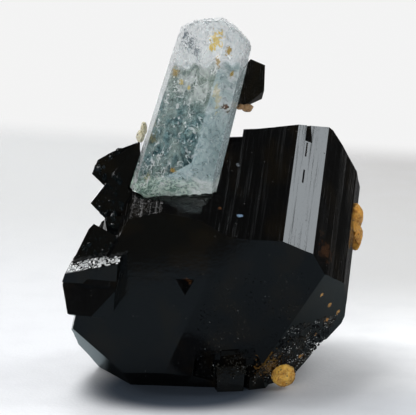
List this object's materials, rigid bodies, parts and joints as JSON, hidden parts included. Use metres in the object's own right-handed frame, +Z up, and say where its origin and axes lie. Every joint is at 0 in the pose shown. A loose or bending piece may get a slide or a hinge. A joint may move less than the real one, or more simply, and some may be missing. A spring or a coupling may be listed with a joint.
{
  "type": "aquamarine specimen",
  "caption": "Pale blue aquamarine prism standing on a stout black tourmaline crystal, with a small dark crystal on its back and feldspar grains.",
  "frame": {"origin": "on the surface the specimen stands on, under the middle of the black crystal as seen from the front", "axes": "+Z up, -Y towards the front face the picture shows, +X to the right in that view"},
  "size_m": [0.0525, 0.0435, 0.0645],
  "materials": {
    "black_tourmaline": "glassy black crystal faces, striated lengthwise, broken at the root",
    "aquamarine": "clear pale blue crystal, veiled inside, etched top",
    "ochre_feldspar": "dull granular mineral",
    "pale_feldspar": "dull granular mineral",
    "brown_feldspar": "dull granular mineral"
  },
  "bodies": {
    "root": {"black_tourmaline": "black_tourmaline", "aquamarine": "aquamarine", "small_tourmaline": "black_tourmaline", "feldspar_crust": "ochre_feldspar", "feldspar_pebble": "ochre_feldspar", "pale_feldspar_chip": "pale_feldspar", "brown_feldspar_crumb": "brown_feldspar"}
  },
  "joints": []
}
